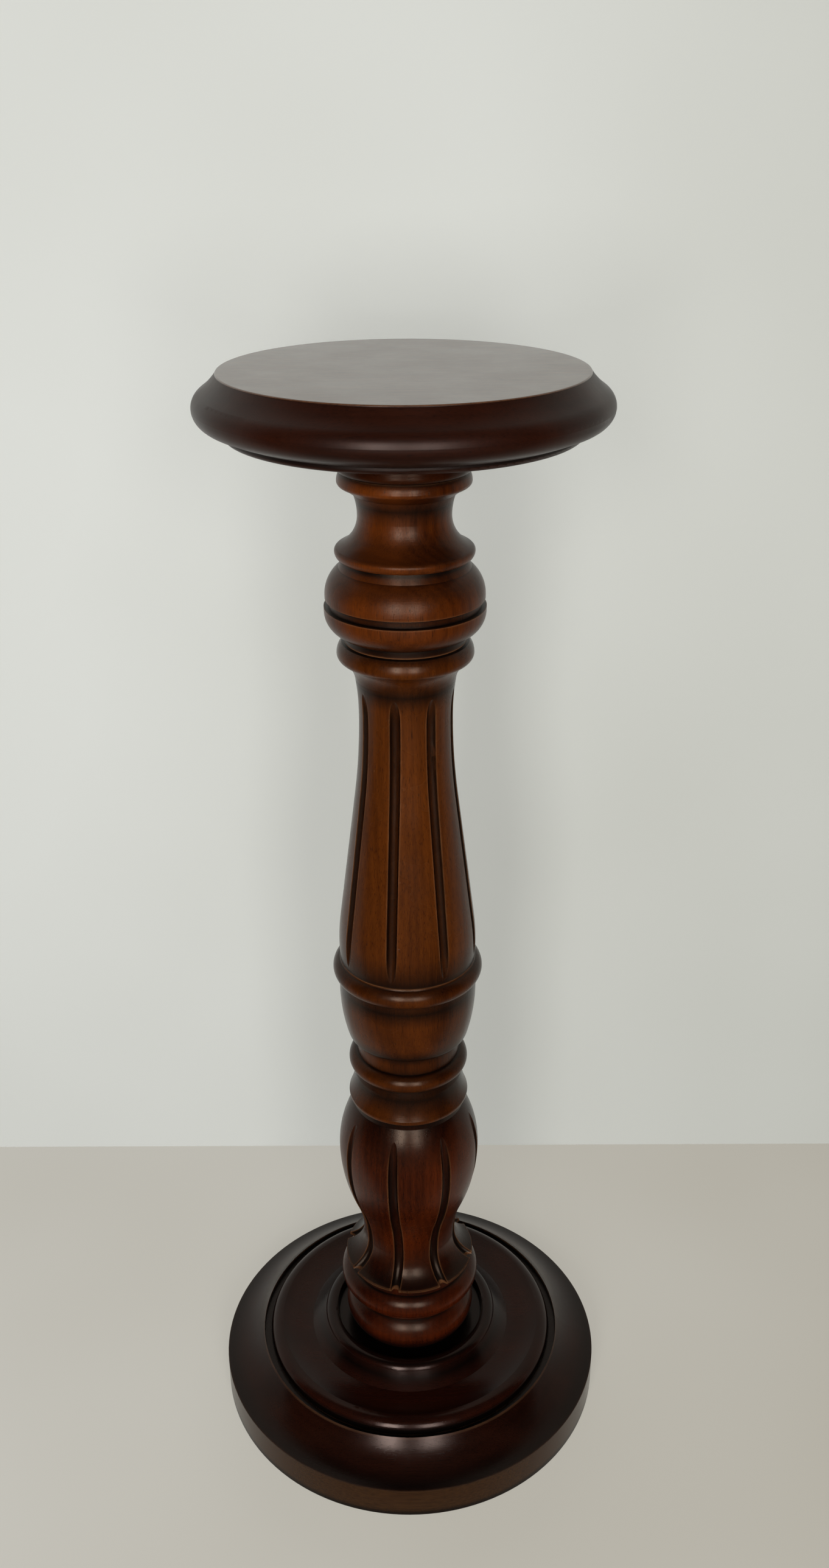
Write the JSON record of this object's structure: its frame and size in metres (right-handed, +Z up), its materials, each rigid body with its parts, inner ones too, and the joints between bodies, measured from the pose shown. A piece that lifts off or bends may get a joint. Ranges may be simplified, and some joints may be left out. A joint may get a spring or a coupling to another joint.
{
  "type": "pedestal side table",
  "caption": "Tall turned wooden pedestal table: a round moulded top on a fluted baluster column with rings, beads and a ball, standing on a round stepped base.",
  "frame": {"origin": "on the floor, on the axis of the column", "axes": "+Z up along the column, -Y towards the viewer of the picture, +X to that viewer's right"},
  "size_m": [0.358, 0.358, 0.965],
  "materials": {
    "column_wood": "satin polish over red-brown mahogany stain",
    "dark_wood": "satin polish over dark brown stain",
    "joint_wood": "bare beech, hidden",
    "screw_steel": "dull bare steel, hidden"
  },
  "bodies": {
    "root": {"base_plinth": "dark_wood", "base_tier": "dark_wood", "base_screws": "screw_steel", "column_foot": "column_wood", "foot_wedge": "joint_wood", "foot_dowel": "joint_wood", "fluted_baluster": "column_wood", "baluster_dowel": "joint_wood", "cup_section": "column_wood", "shaft_dowel": "joint_wood", "fluted_shaft": "column_wood", "capital_dowel": "joint_wood", "neck_capital": "column_wood", "top_boss": "column_wood", "boss_screws": "screw_steel", "top_board": "dark_wood"}
  },
  "joints": []
}
